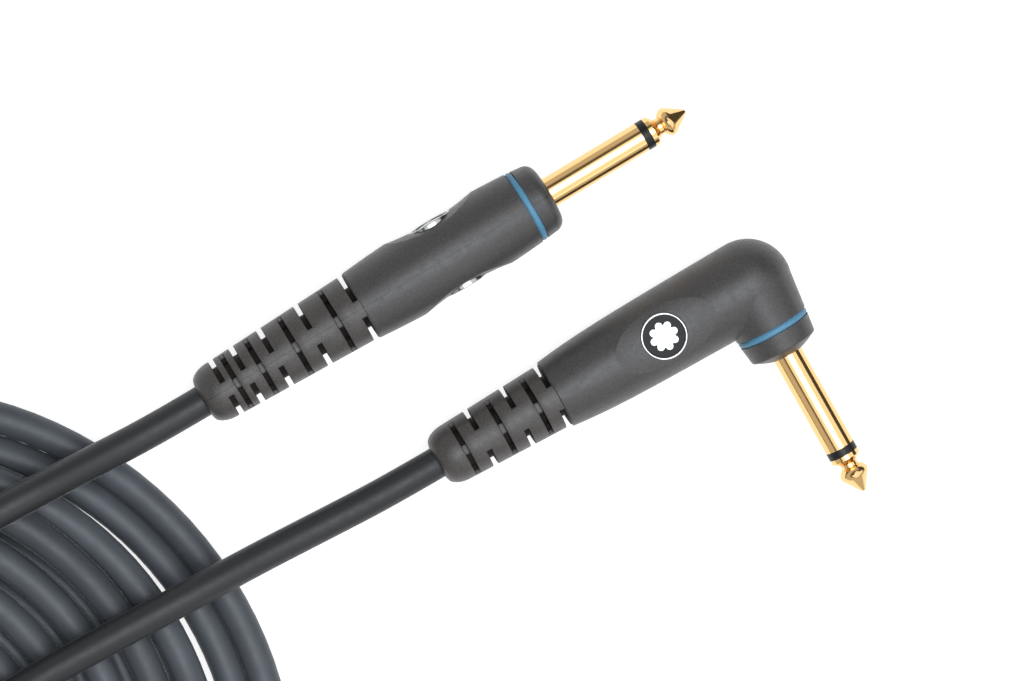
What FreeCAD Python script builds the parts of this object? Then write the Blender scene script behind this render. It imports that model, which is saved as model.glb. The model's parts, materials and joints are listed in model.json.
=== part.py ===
"""Instrument cable: a coiled shielded cord between a straight jack plug and a right-angle jack plug.

Millimetres, +Z up. The floor that everything lies on is z = 0. Each plug is drawn along its own X axis,
with x = 0 where the boot meets the shell and +X towards the nose, and is then laid in its place.
"""
import math
import os

import FreeCAD, Part

# Cord
JACKET_RADIUS = 3.3
SHIELD_RADIUS = 2.4
CORE_RADIUS = 1.6
CONDUCTOR_RADIUS = 0.6

# Jack: exposed lengths from the collar's front face, and radii
SLEEVE_RADIUS = 3.175
SLEEVE_LENGTH = 22.25
RING_LENGTH = 1.7
SHOULDER_LENGTH = 0.95
NECK_START = 2.1
NECK_END = 2.9
NECK_RADIUS = 1.8
BALL_CREST = 4.4
BALL_RADIUS = 3.1
BALL_END = 5.4
BALL_END_RADIUS = 2.75
TIP_LENGTH = 8.7
TIP_END_RADIUS = 0.45
ROD_RADIUS = 1.2
BARREL_BORE_RADIUS = 2.1

# Jack: what the shell hides, measured back from the shell's front face
SPIGOT_LENGTH = 2.5
SPIGOT_RADIUS = 5.4
BARREL_SEAT_RADIUS = 3.6
FLANGE_THICKNESS = 3.0
FLANGE_RADIUS = 5.0
RIB_THICKNESS = 1.0
BARREL_TAIL_LENGTH = 5.0
LUG_THICKNESS = 0.8
REAR_WASHER_THICKNESS = 1.0
ROD_END_LENGTH = 0.8
GROUND_LUG_RADIUS = 4.2
REAR_WASHER_RADIUS = 3.2
TIP_LUG_RADIUS = 2.4
ROD_END_RADIUS = 1.6

# Lug tabs and the clamp round the jacket
TAB_GAP = 0.1
GROUND_TAB_WIDTH = 3.2
TIP_TAB_WIDTH = 2.0
TIP_TAB_LENGTH = 5.6
CLAMP_START = 8.0
CLAMP_LENGTH = 4.0
CLAMP_WALL = 0.8
SOLDER_RADIUS = 1.1
SOLDER_END_RADIUS = 0.8

# Colour ring, which dips below its neighbours at its edges, and the collar's rear end
COLOUR_RING_WIDTH = 1.5
COLOUR_RING_RADIUS = 7.45
COLOUR_RING_BULGE = 0.4
COLLAR_REAR_RADIUS = 7.8

# Shell
SHELL_LIP_LENGTH = 3.0
CAVITY_RADIUS = 5.6
BOOT_NECK_RADIUS = 4.2
BOOT_FLANGE_RADIUS = 5.4
BOOT_FLANGE_LENGTH = 2.0

# Thumb scoops and badges
SCOOP_DEPTH = 1.2
SCOOP_WAIST_RADIUS = 16.0
SCOOP_HALF_LENGTH = 11.6
BADGE_RADIUS = 4.85
BADGE_RIM = 0.5
BADGE_RIM_ROUND = 0.2
BADGE_PROUD = 0.15
BADGE_SINK = 0.9
BADGE_FACE_DROP = 0.4
BOSS_HEIGHT = 0.3
BOSS_DOME_RADIUS = 28.0
BOSS_RADIUS = 2.3
BOSS_LOBES = 8
BOSS_LOBE_RADIUS = 0.75

# Boot
BOOT_TAIL_RADIUS = 6.25
BOOT_TAIL_ROUND = 4.4
BOOT_TAIL_LIP = 0.35
SLOT_WIDTH = 1.1
SLOT_FLOOR_RADIUS = 4.6
SLOT_RIB_WIDTH = 2.7
SLOT_RIB_DEPTH = 0.8

# Straight plug
STRAIGHT_X = -18.78
STRAIGHT_Y = 43.30
STRAIGHT_HEADING = -15.2
STRAIGHT_SHELL_LENGTH = 38.5
STRAIGHT_REAR_RADIUS = 7.6
STRAIGHT_MIDDLE = 21.3
STRAIGHT_MIDDLE_RADIUS = 8.6
STRAIGHT_FRONT_RADIUS = 7.95
STRAIGHT_SCOOP_MIDDLE = 20.6
STRAIGHT_SCOOP_LEAN = 0.0
STRAIGHT_COLLAR_LENGTH = 4.65
STRAIGHT_COLLAR_RADIUS = 7.55
STRAIGHT_COLLAR_ROUND = 2.4
STRAIGHT_COLLAR_DOME = 0.2
STRAIGHT_BOOT_LENGTH = 37.5
STRAIGHT_BOOT_FRONT_RADIUS = 7.45
STRAIGHT_SLOT_ARC = 148.0
STRAIGHT_SIDE_SLOTS = (0.85, 11.5, 20.5, 27.2, 32.1)
STRAIGHT_FACE_SLOTS = (5.9, 15.8, 23.9, 29.7)

# Right-angle plug
ANGLE_X = -4.36
ANGLE_Y = 2.00
ANGLE_HEADING = -16.35
ANGLE_ARM_LENGTH = 45.7
ANGLE_REAR_RADIUS = 7.5
ANGLE_ARM_SWELL = ((10.8, 8.45), (23.0, 8.85), (34.0, 9.03))
ANGLE_HEAD_RADIUS = 9.15
ANGLE_FRONT_RADIUS = 7.95
ANGLE_NOSE_START = 9.8
ANGLE_SCOOP_MIDDLE = 24.6
ANGLE_SCOOP_DROP = 0.235
ANGLE_SCOOP_LEAN = 0.9
ANGLE_COLLAR_LENGTH = 5.45
ANGLE_COLLAR_RADIUS = 7.35
ANGLE_COLLAR_ROUND = 0.6
ANGLE_COLLAR_DOME = 1.4
ANGLE_BOOT_LENGTH = 27.9
ANGLE_BOOT_FRONT_RADIUS = 7.1
ANGLE_SLOT_ARC = 136.0
ANGLE_SIDE_SLOTS = (0.85, 9.1, 17.75)
ANGLE_FACE_SLOTS = (4.8, 13.2, 21.8)

# Layers inside the plug end of the cord, from the boot's front face
LAYERS_START = 5.2
JACKET_END = 13.5
SHIELD_END = 16.5
BARE_CONDUCTOR_LENGTH = 3.4

# Gap between the conductor's end and what it stops short of
CONDUCTOR_GAP = 0.6

# Longer than any piece, for cutting shapes that only have to reach past it
FAR_AWAY = 200.0

# Clearances. The lead gap parts each lead from the jacket that bends with the boot.
RUNNING_FIT = 0.05
SNUG_FIT = 0.03
LEAD_GAP = 0.3

# Coil: the near side, towards the plugs, is loose and the far side is pulled together.
# A turn's radius is given near and far, then its slide to the side, then how late it tightens
# on the right-angle plug's side and on the straight plug's side.
COIL_X = -173.60
COIL_Y = 44.10
FLOOR_OUTER = (95.1, 52.2, 0.8, 1.35, 1.02)
FLOOR_INNER = (47.6, 13.6, 6.5, 0.85, 0.77)
TOP_OUTER = (82.9, 50.4, 8.9, 1.25, 0.8)
TOP_INNER = (51.3, 24.0, 9.0, 0.95, 0.94)
COIL_OUTLINE_POINTS = 24
COIL_EDGE_ROUND = 2.0

# Leads, from each boot's tail to where the lead sinks into the coil
STRAIGHT_LEAD = (
    (-66.1, 56.2, 8.8),
    (-79.2, 61.0, 12.2),
    (-92.2, 65.7, 17.0),
    (-106.2, 70.4, 19.0),
    (-121.2, 77.0, 18.6),
    (-136.2, 85.6, 17.6),
    (-152.2, 94.0, 17.0),
    (-169.6, 98.6, 16.8),
    (-186.0, 96.4, 16.0),
    (-199.8, 88.0, 12.8),
    (-208.8, 74.6, 10.6),
    (-212.0, 60.4, 10.2),
)
ANGLE_LEAD = (
    (-42.7, 13.2, 9.3),
    (-56.2, 18.0, 10.4),
    (-70.7, 23.4, 13.0),
    (-86.2, 28.8, 16.8),
    (-102.2, 34.2, 18.1),
    (-118.7, 39.4, 17.8),
    (-134.2, 43.0, 17.4),
    (-151.2, 44.5, 17.3),
    (-172.1, 37.7, 17.3),
    (-191.2, 40.5, 17.3),
    (-206.9, 51.7, 17.3),
    (-215.7, 68.8, 17.3),
    (-215.7, 88.1, 17.3),
    (-206.8, 105.1, 17.3),
    (-191.0, 116.0, 17.2),
    (-171.9, 118.3, 16.8),
    (-154.2, 115.4, 15.8),
)


def vec(x, y, z=0.0):
    return FreeCAD.Vector(x, y, z)


def outline(start, *steps):
    """Closed outline in the XY plane.

    A step is an (x, y) end, a (middle, end) pair for an arc, or more than two points for a smooth curve.
    """
    edges = []
    here = vec(*start)
    for step in steps + (start,):
        through = [vec(*point) for point in step] if isinstance(step[0], tuple) else [vec(*step)]
        end = through[-1]
        if end.isEqual(here, 1e-9):
            continue
        if len(through) == 1:
            edge = Part.LineSegment(here, end)
        elif len(through) == 2:
            edge = Part.Arc(here, *through)
        else:
            edge = Part.BSplineCurve()
            edge.interpolate([here] + through)
        edges.append(edge.toShape())
        here = end
    return Part.Face(Part.Wire(edges))


def turned(start, *steps):
    """Solid of revolution about the X axis, from an outline in length and radius."""
    return outline(start, *steps).revolve(vec(0, 0), vec(1, 0), 360)


def rod(start, end, radius):
    return Part.makeCylinder(radius, end - start, vec(start, 0), vec(1, 0))


def tube(start, end, inner, outer):
    return rod(start, end, outer).cut(rod(start, end, inner))


def block(x0, x1, y0, y1, z0, z1):
    return Part.makeBox(x1 - x0, y1 - y0, z1 - z0, vec(x0, y0, z0))


def bent_tube(points, radius):
    """Round cord of straight runs joined by tangent arcs, each arc as large as its two runs allow."""
    nodes = [vec(*point) for point in points]
    edges = []
    here = nodes[0]
    radii = []
    for before, corner, after in zip(nodes, nodes[1:], nodes[2:]):
        back, on = before - corner, after - corner
        reach = 0.45 * min(back.Length, on.Length)
        back.normalize()
        on.normalize()
        half_turn = (math.pi - back.getAngle(on)) / 2
        radii.append(reach / math.tan(half_turn))
        arc_start, arc_end = corner + back * reach, corner + on * reach
        inward = (back + on).normalize()
        middle = corner + inward * radii[-1] * (1 / math.cos(half_turn) - 1)
        edges.append(Part.LineSegment(here, arc_start).toShape())
        edges.append(Part.Arc(arc_start, middle, arc_end).toShape())
        here = arc_end
    edges.append(Part.LineSegment(here, nodes[-1]).toShape())
    path = Part.Wire(edges)
    section = Part.Wire(Part.Circle(nodes[0], nodes[1] - nodes[0], radius).toShape())
    cord = path.makePipeShell([section], True, False, 2)
    print("  length %.0f, bend radii %s" % (path.Length, " ".join("%.0f" % r for r in radii)))
    print("  volume over section times length: %.4f" % (cord.Volume / (math.pi * radius ** 2 * path.Length)))
    return cord


# Jack, drawn with x = 0 at the shell's front face

def collar_front(collar_length):
    return COLOUR_RING_WIDTH + collar_length


def flange_front():
    return -SPIGOT_LENGTH


def flange_rear():
    return flange_front() - FLANGE_THICKNESS


def barrel_rear():
    return flange_rear() - BARREL_TAIL_LENGTH


def ground_lug_rear():
    return barrel_rear() - LUG_THICKNESS


def rear_washer_rear():
    return ground_lug_rear() - REAR_WASHER_THICKNESS


def tip_lug_rear():
    return rear_washer_rear() - LUG_THICKNESS


def barrel(collar_length):
    front = collar_front(collar_length) + SLEEVE_LENGTH
    flange = rod(flange_rear(), flange_front(), FLANGE_RADIUS)
    seat = rod(flange_front(), collar_front(collar_length), BARREL_SEAT_RADIUS)
    body = rod(barrel_rear(), front, SLEEVE_RADIUS).multiFuse([flange, seat])
    return body.cut(rod(barrel_rear(), front, BARREL_BORE_RADIUS)).removeSplitter()


def insulator(collar_length):
    front = collar_front(collar_length) + SLEEVE_LENGTH
    return tube(ground_lug_rear(), front, ROD_RADIUS + SNUG_FIT, BARREL_BORE_RADIUS - SNUG_FIT)


def tip_ring(collar_length):
    rear = collar_front(collar_length) + SLEEVE_LENGTH
    return tube(rear, rear + RING_LENGTH, ROD_RADIUS + SNUG_FIT, SLEEVE_RADIUS)


def tip(collar_length):
    rear = collar_front(collar_length) + SLEEVE_LENGTH + RING_LENGTH
    ball_rise = ((NECK_END + BALL_CREST) / 2, BALL_RADIUS - 0.25 * (BALL_RADIUS - NECK_RADIUS))
    ball_fall = ((BALL_CREST + BALL_END) / 2, BALL_RADIUS - 0.25 * (BALL_RADIUS - BALL_END_RADIUS))
    end = tip_lug_rear() - ROD_END_LENGTH
    return turned(
        (end, 0),
        (end, ROD_END_RADIUS),
        (tip_lug_rear(), ROD_END_RADIUS),
        (tip_lug_rear(), ROD_RADIUS),
        (rear, ROD_RADIUS),
        (rear, SLEEVE_RADIUS),
        (rear + SHOULDER_LENGTH, SLEEVE_RADIUS),
        (rear + NECK_START, NECK_RADIUS),
        (rear + NECK_END, NECK_RADIUS),
        ((rear + ball_rise[0], ball_rise[1]), (rear + BALL_CREST, BALL_RADIUS)),
        ((rear + ball_fall[0], ball_fall[1]), (rear + BALL_END, BALL_END_RADIUS)),
        (rear + TIP_LENGTH, TIP_END_RADIUS),
        (rear + TIP_LENGTH, 0),
    )


def rear_washer():
    return tube(rear_washer_rear(), ground_lug_rear(), ROD_RADIUS + SNUG_FIT, REAR_WASHER_RADIUS)


def lug_washer(front, radius, hole):
    return tube(front - LUG_THICKNESS, front, hole, radius)


def nose_collar(length, radius, edge_round, dome):
    """Collar that narrows to the given radius, then rounds over to a face domed towards the sleeve."""
    rear, front = COLOUR_RING_WIDTH, collar_front(length)
    edge = front - dome
    corner = edge_round * (1 - math.sqrt(0.5))
    face_radius = radius - edge_round
    hole = BARREL_SEAT_RADIUS + RUNNING_FIT
    halfway = (face_radius + hole) / 2
    rise = dome * (face_radius ** 2 - halfway ** 2) / (face_radius ** 2 - hole ** 2)
    return turned(
        (flange_front(), hole),
        (flange_front(), SPIGOT_RADIUS),
        (rear, SPIGOT_RADIUS),
        (rear, COLLAR_REAR_RADIUS),
        (edge - edge_round, radius),
        ((edge - corner, radius - corner), (edge, face_radius)),
        ((edge + rise, halfway), (front, hole)),
    )


def colour_ring():
    inner = SPIGOT_RADIUS + RUNNING_FIT
    crest = (COLOUR_RING_WIDTH / 2, COLOUR_RING_RADIUS + COLOUR_RING_BULGE)
    return turned(
        (0, inner),
        (0, COLOUR_RING_RADIUS),
        (crest, (COLOUR_RING_WIDTH, COLOUR_RING_RADIUS)),
        (COLOUR_RING_WIDTH, inner),
    )


def nose_cavity():
    """Room in the shell for the barrel's tail, the rib behind the flange, the flange and the spigot."""
    rib_rear = flange_rear() - RUNNING_FIT - RIB_THICKNESS
    spaces = (
        rod(tip_lug_rear() - ROD_END_LENGTH, rib_rear, CAVITY_RADIUS),
        rod(rib_rear, flange_rear(), SLEEVE_RADIUS + RUNNING_FIT),
        rod(flange_rear() - RUNNING_FIT, flange_front(), FLANGE_RADIUS + RUNNING_FIT),
        rod(flange_front(), 0, SPIGOT_RADIUS + RUNNING_FIT),
    )
    return spaces[0].multiFuse(spaces[1:])


# Places of the two noses on their plugs

def straight_nose(shape):
    return shape.translated(vec(STRAIGHT_SHELL_LENGTH, 0))


def angle_nose(shape):
    moved = shape.copy()
    moved.rotate(vec(0, 0), vec(0, 0, 1), -90)
    return moved.translated(vec(ANGLE_ARM_LENGTH, -ANGLE_NOSE_START))


# Lugs, clamp, solder and the cord's layers, drawn along the plug's own X axis

def ground_lug(nose, tab_end):
    top = -REAR_WASHER_RADIUS - TAB_GAP
    half = GROUND_TAB_WIDTH / 2
    clamp_inner = JACKET_RADIUS + SNUG_FIT
    washer = nose(lug_washer(barrel_rear(), GROUND_LUG_RADIUS, BARREL_BORE_RADIUS))
    tab = block(CLAMP_START, tab_end, -half, half, top - LUG_THICKNESS, top)
    clamp = tube(CLAMP_START, CLAMP_START + CLAMP_LENGTH, clamp_inner, clamp_inner + CLAMP_WALL)
    room = rod(CLAMP_START, CLAMP_START + CLAMP_LENGTH, clamp_inner)
    return washer.multiFuse([tab, clamp]).cut(room).removeSplitter()


def tip_lug(nose, tab):
    washer = nose(lug_washer(rear_washer_rear(), TIP_LUG_RADIUS, ROD_RADIUS + SNUG_FIT))
    hole = nose(rod(tip_lug_rear(), rear_washer_rear(), ROD_RADIUS + SNUG_FIT))
    return washer.fuse(tab).cut(hole).removeSplitter()


def jacket_end(boot_length):
    inside = tube(LAYERS_START, JACKET_END, SHIELD_RADIUS + SNUG_FIT, JACKET_RADIUS)
    return rod(LEAD_GAP - boot_length, LAYERS_START, JACKET_RADIUS).fuse(inside).removeSplitter()


def shield():
    return tube(LAYERS_START, SHIELD_END, CORE_RADIUS + SNUG_FIT, SHIELD_RADIUS)


def core_insulation(conductor_end):
    end = conductor_end - BARE_CONDUCTOR_LENGTH
    return tube(LAYERS_START, end, CONDUCTOR_RADIUS + SNUG_FIT, CORE_RADIUS)


def conductor(end):
    return rod(LAYERS_START, end, CONDUCTOR_RADIUS)


def solder_joint(foot, direction, height, wire_radius, wire_end):
    """Cone of solder from a lug's tab down to the wire along the X axis."""
    cone = Part.makeCone(SOLDER_RADIUS, SOLDER_END_RADIUS, height, foot, direction)
    return cone.cut(rod(0, wire_end, wire_radius))


def ground_solder():
    top = -REAR_WASHER_RADIUS - TAB_GAP
    foot = vec(SHIELD_END - SOLDER_RADIUS, 0, top)
    drop = Part.makeCylinder(SOLDER_RADIUS, -top - CORE_RADIUS, foot, vec(0, 0, 1))
    return drop.cut(rod(0, SHIELD_END, SHIELD_RADIUS))


# Boot

def sector(start, end, inner, outer, middle_angle, arc):
    """Part of a ring about the X axis: arc degrees wide about middle_angle, which is 0 at +Y."""
    turn = math.radians(middle_angle - arc / 2)
    edge = vec(0, math.cos(turn), math.sin(turn))
    corners = (vec(start, 0) + edge * inner, vec(start, 0) + edge * outer,
               vec(end, 0) + edge * outer, vec(end, 0) + edge * inner)
    return Part.Face(Part.makePolygon(corners + corners[:1])).revolve(vec(0, 0), vec(1, 0), arc)


def boot(length, front_radius, slot_arc, side_slots, face_slots):
    tail = -length
    dome_x = tail + BOOT_TAIL_ROUND
    lip = JACKET_RADIUS + RUNNING_FIT + BOOT_TAIL_LIP
    diagonal = math.sqrt(0.5)
    dome = (dome_x - BOOT_TAIL_ROUND * diagonal, lip + (BOOT_TAIL_RADIUS - lip) * diagonal)
    flange = SHELL_LIP_LENGTH + RUNNING_FIT
    body = turned(
        (tail, JACKET_RADIUS + RUNNING_FIT),
        (tail, lip),
        (dome, (dome_x, BOOT_TAIL_RADIUS)),
        (0, front_radius),
        (0, BOOT_NECK_RADIUS),
        (flange, BOOT_NECK_RADIUS),
        (flange, BOOT_FLANGE_RADIUS),
        (flange + BOOT_FLANGE_LENGTH, BOOT_FLANGE_RADIUS),
        (flange + BOOT_FLANGE_LENGTH, JACKET_RADIUS + RUNNING_FIT),
    )
    cuts = []
    for middle_angle, places in ((0, side_slots), (180, side_slots), (90, face_slots), (270, face_slots)):
        for place in places:
            slot = sector(-place - SLOT_WIDTH / 2, -place + SLOT_WIDTH / 2, SLOT_FLOOR_RADIUS,
                          front_radius + SLOT_WIDTH, middle_angle, slot_arc)
            if places is face_slots:
                surface = front_radius + (BOOT_TAIL_RADIUS - front_radius) * place / (length - BOOT_TAIL_ROUND)
                half = SLOT_RIB_WIDTH / 2
                side = -1 if middle_angle == 270 else 1
                heights = sorted((0, side * (surface - SLOT_RIB_DEPTH)))
                slot = slot.cut(block(-place - SLOT_WIDTH, -place + SLOT_WIDTH, -half, half, *heights))
            cuts.append(slot)
    return body.cut(Part.makeCompound(cuts))


# Shells

def hourglass(middle, top, direction, lean):
    """Round body with a waist, which leaves a thumb scoop where it cuts across a shell.

    It leans by some degrees, up towards the nose, to follow a shell that widens.
    """
    rise = (SCOOP_HALF_LENGTH ** 2 + SCOOP_DEPTH ** 2) / (2 * SCOOP_DEPTH)
    half = 2.4 * SCOOP_HALF_LENGTH
    end_radius = SCOOP_WAIST_RADIUS + rise - math.sqrt(rise ** 2 - half ** 2)
    body = turned(
        (middle - FAR_AWAY, 0),
        (middle - FAR_AWAY, end_radius),
        (middle - half, end_radius),
        ((middle, SCOOP_WAIST_RADIUS), (middle + half, end_radius)),
        (middle + FAR_AWAY, end_radius),
        (middle + FAR_AWAY, 0),
    )
    body = body.translated(direction * (top - SCOOP_WAIST_RADIUS))
    body.rotate(vec(middle, 0) + direction * top, vec(1, 0).cross(direction), lean)
    return body


def badge_pocket(middle, floor, direction):
    return Part.makeCylinder(BADGE_RADIUS + RUNNING_FIT, FAR_AWAY, vec(middle, 0) + direction * floor, direction)


def scooped(shell, middle, radius, directions, lean):
    floor_radius = radius - SCOOP_DEPTH
    for direction in directions:
        shell = shell.common(hourglass(middle, floor_radius, direction, lean))
    for direction in directions:
        shell = shell.cut(badge_pocket(middle, floor_radius - BADGE_SINK, direction))
    return shell


def rear_cavity(end):
    lip = rod(0, SHELL_LIP_LENGTH, BOOT_NECK_RADIUS + RUNNING_FIT)
    return lip.fuse(rod(SHELL_LIP_LENGTH, end, CAVITY_RADIUS))


def straight_shell():
    length = STRAIGHT_SHELL_LENGTH
    body = turned(
        (0, 0),
        (0, STRAIGHT_REAR_RADIUS),
        ((STRAIGHT_MIDDLE, STRAIGHT_MIDDLE_RADIUS), (length, STRAIGHT_FRONT_RADIUS)),
        (length, 0),
    )
    body = scooped(body, STRAIGHT_SCOOP_MIDDLE, STRAIGHT_MIDDLE_RADIUS, (vec(0, 1), vec(0, -1)),
                   STRAIGHT_SCOOP_LEAN)
    cavity = rear_cavity(length + tip_lug_rear()).fuse(straight_nose(nose_cavity()))
    return body.cut(cavity)


def angle_shell():
    elbow = vec(ANGLE_ARM_LENGTH, 0)
    arm = turned(
        (0, 0),
        (0, ANGLE_REAR_RADIUS),
        ANGLE_ARM_SWELL + ((ANGLE_ARM_LENGTH, ANGLE_HEAD_RADIUS),),
        (ANGLE_ARM_LENGTH, 0),
    )
    arm = scooped(arm, ANGLE_SCOOP_MIDDLE, ANGLE_HEAD_RADIUS - ANGLE_SCOOP_DROP, (vec(0, 0, 1), vec(0, 0, -1)),
                  ANGLE_SCOOP_LEAN)
    ball = Part.makeSphere(ANGLE_HEAD_RADIUS, elbow)
    head = Part.makeCone(ANGLE_HEAD_RADIUS, ANGLE_FRONT_RADIUS, ANGLE_NOSE_START, elbow, vec(0, -1))
    cavity = rear_cavity(ANGLE_ARM_LENGTH).multiFuse([
        Part.makeSphere(CAVITY_RADIUS, elbow),
        angle_nose(nose_cavity()),
    ])
    return arm.multiFuse([ball, head]).cut(cavity)


# Badges

def badge_parts(middle, radius, directions):
    """Bezels, discs and bosses of the badges on the two sides of a shell."""
    floor = radius - SCOOP_DEPTH - BADGE_SINK
    top = radius - SCOOP_DEPTH + BADGE_PROUD
    face = top - BADGE_FACE_DROP
    bezels, discs, bosses = [], [], []
    for direction in directions:
        centre = vec(middle, 0)
        inner = BADGE_RADIUS - BADGE_RIM
        ring = Part.makeCylinder(BADGE_RADIUS, top - floor, centre + direction * floor, direction)
        hole = Part.makeCylinder(inner, top - floor, centre + direction * floor, direction)
        ring = ring.cut(hole)
        top_edges = [edge for edge in ring.Edges if edge.CenterOfMass.dot(direction) > top - SNUG_FIT]
        bezels.append(ring.makeFillet(BADGE_RIM_ROUND, top_edges))
        discs.append(Part.makeCylinder(inner - SNUG_FIT, face - floor, centre + direction * floor, direction))
        boss = Part.makeCylinder(BOSS_RADIUS, BOSS_HEIGHT, centre + direction * face, direction)
        dome_centre = centre + direction * (face + BOSS_HEIGHT - BOSS_DOME_RADIUS)
        dome = Part.makeSphere(BOSS_DOME_RADIUS, dome_centre, direction)
        across = direction.cross(vec(1, 0))
        lobes = []
        for i in range(BOSS_LOBES):
            turn = 2 * math.pi * i / BOSS_LOBES
            place = vec(1, 0) * math.cos(turn) + across * math.sin(turn)
            lobes.append(Part.makeCylinder(BOSS_LOBE_RADIUS, BOSS_HEIGHT,
                                           centre + direction * face + place * BOSS_RADIUS, direction))
        bosses.append(boss.multiFuse(lobes).removeSplitter().common(dome))
    return tuple(Part.makeCompound(group) for group in (bezels, discs, bosses))


# Placing and writing

def laid(shape, x, y, height, heading):
    moved = shape.copy()
    moved.rotate(vec(0, 0), vec(0, 0, 1), heading)
    return moved.translated(vec(x, y, height))


def half_of(shape, side):
    """The half of a shell that lies in the given direction from its middle plane."""
    low = [0 if part > 0 else -FAR_AWAY for part in side]
    high = [0 if part < 0 else FAR_AWAY for part in side]
    return shape.common(block(low[0], high[0], low[1], high[1], low[2], high[2]))


def straight_plug():
    sides = (vec(0, 1), vec(0, -1))
    shell = straight_shell()
    bezels, discs, bosses = badge_parts(STRAIGHT_SCOOP_MIDDLE, STRAIGHT_MIDDLE_RADIUS, sides)
    tab_front = STRAIGHT_SHELL_LENGTH + rear_washer_rear()
    half = TIP_TAB_WIDTH / 2
    tab_bottom = ROD_END_RADIUS + TAB_GAP
    tip_tab = block(tab_front - TIP_TAB_LENGTH, tab_front, -half, half, tab_bottom, tab_bottom + LUG_THICKNESS)
    wire_end = STRAIGHT_SHELL_LENGTH + tip_lug_rear() - ROD_END_LENGTH - CONDUCTOR_GAP
    foot = vec(wire_end - SOLDER_RADIUS, 0, tab_bottom)
    tip_solder = solder_joint(foot, vec(0, 0, -1), tab_bottom, CONDUCTOR_RADIUS, wire_end)
    return {
        "shell_left": half_of(shell, sides[0]),
        "shell_right": half_of(shell, sides[1]),
        "boot": boot(STRAIGHT_BOOT_LENGTH, STRAIGHT_BOOT_FRONT_RADIUS, STRAIGHT_SLOT_ARC,
                     STRAIGHT_SIDE_SLOTS, STRAIGHT_FACE_SLOTS),
        "badge_bezels": bezels,
        "badge_discs": discs,
        "badge_bosses": bosses,
        "ground_lug": ground_lug(straight_nose, STRAIGHT_SHELL_LENGTH + barrel_rear()),
        "tip_lug": tip_lug(straight_nose, tip_tab),
        "solder": Part.makeCompound([tip_solder, ground_solder()]),
        "jacket_end": jacket_end(STRAIGHT_BOOT_LENGTH),
        "core_insulation": core_insulation(wire_end),
        "conductor": conductor(wire_end),
    } | nose_parts(straight_nose, STRAIGHT_COLLAR_LENGTH, STRAIGHT_COLLAR_RADIUS, STRAIGHT_COLLAR_ROUND,
                   STRAIGHT_COLLAR_DOME)


def angle_plug():
    faces = (vec(0, 0, 1), vec(0, 0, -1))
    shell = angle_shell()
    bezels, discs, bosses = badge_parts(ANGLE_SCOOP_MIDDLE, ANGLE_HEAD_RADIUS - ANGLE_SCOOP_DROP, faces)
    lug_front = -ANGLE_NOSE_START - rear_washer_rear()
    half = TIP_TAB_WIDTH / 2
    tab_start = ANGLE_ARM_LENGTH - TIP_LUG_RADIUS - TIP_TAB_LENGTH
    tip_tab = block(tab_start, ANGLE_ARM_LENGTH, lug_front, lug_front + LUG_THICKNESS, -half, half)
    wire_end = ANGLE_ARM_LENGTH - GROUND_LUG_RADIUS - CONDUCTOR_GAP
    foot = vec(wire_end - SOLDER_RADIUS, lug_front)
    tip_solder = solder_joint(foot, vec(0, -1), lug_front, CONDUCTOR_RADIUS, wire_end)
    return {
        "shell_upper": half_of(shell, faces[0]),
        "shell_lower": half_of(shell, faces[1]),
        "boot": boot(ANGLE_BOOT_LENGTH, ANGLE_BOOT_FRONT_RADIUS, ANGLE_SLOT_ARC,
                     ANGLE_SIDE_SLOTS, ANGLE_FACE_SLOTS),
        "badge_bezels": bezels,
        "badge_discs": discs,
        "badge_bosses": bosses,
        "ground_lug": ground_lug(angle_nose, ANGLE_ARM_LENGTH + GROUND_TAB_WIDTH / 2),
        "tip_lug": tip_lug(angle_nose, tip_tab),
        "solder": Part.makeCompound([tip_solder, ground_solder()]),
        "jacket_end": jacket_end(ANGLE_BOOT_LENGTH),
        "core_insulation": core_insulation(wire_end),
        "conductor": conductor(wire_end),
    } | nose_parts(angle_nose, ANGLE_COLLAR_LENGTH, ANGLE_COLLAR_RADIUS, ANGLE_COLLAR_ROUND,
                   ANGLE_COLLAR_DOME)


def nose_parts(nose, collar_length, collar_radius, collar_round, collar_dome):
    return {
        "barrel": nose(barrel(collar_length)),
        "insulator": nose(insulator(collar_length)),
        "tip_ring": nose(tip_ring(collar_length)),
        "tip": nose(tip(collar_length)),
        "rear_washer": nose(rear_washer()),
        "nose_collar": nose(nose_collar(collar_length, collar_radius, collar_round, collar_dome)),
        "colour_ring": nose(colour_ring()),
        "shield": shield(),
    }


# Cord

def turn_face(near, far, slide, late_right, late_left, grow):
    """Outline of one turn of the coil, widened by grow, as a face on the floor."""
    points = []
    for i in range(COIL_OUTLINE_POINTS):
        turn = 2 * math.pi * i / COIL_OUTLINE_POINTS
        farness = (1 - math.cos(turn)) / 2
        late = late_left if turn < math.pi else late_right
        sideways = slide * math.sin(turn) * math.sqrt(1 - farness)
        radius = near + (far - near) * farness ** late + sideways + grow
        points.append(vec(COIL_X + radius * math.cos(turn), COIL_Y + radius * math.sin(turn)))
    curve = Part.BSplineCurve()
    curve.interpolate(Points=points, PeriodicFlag=True)
    return Part.Face(Part.Wire(curve.toShape()))


def layer(outer, inner, bottom, height):
    """One layer of turns as a ring, from the outside of its outer turn to the inside of its inner turn."""
    plate = turn_face(*outer, JACKET_RADIUS).extrude(vec(0, 0, height))
    hole = turn_face(*inner, -JACKET_RADIUS).extrude(vec(0, 0, height))
    ring = plate.cut(hole)
    rims = [edge for edge in ring.Edges if edge.BoundBox.ZLength < 1e-3 and edge.BoundBox.ZMin > height / 2]
    return ring.makeFillet(COIL_EDGE_ROUND, rims).translated(vec(0, 0, bottom))


def coil():
    thickness = 2 * JACKET_RADIUS
    floor_layer = layer(FLOOR_OUTER, FLOOR_INNER, 0, thickness)
    top_layer = layer(TOP_OUTER, TOP_INNER, thickness, thickness)
    return floor_layer.fuse(top_layer).removeSplitter()


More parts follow.
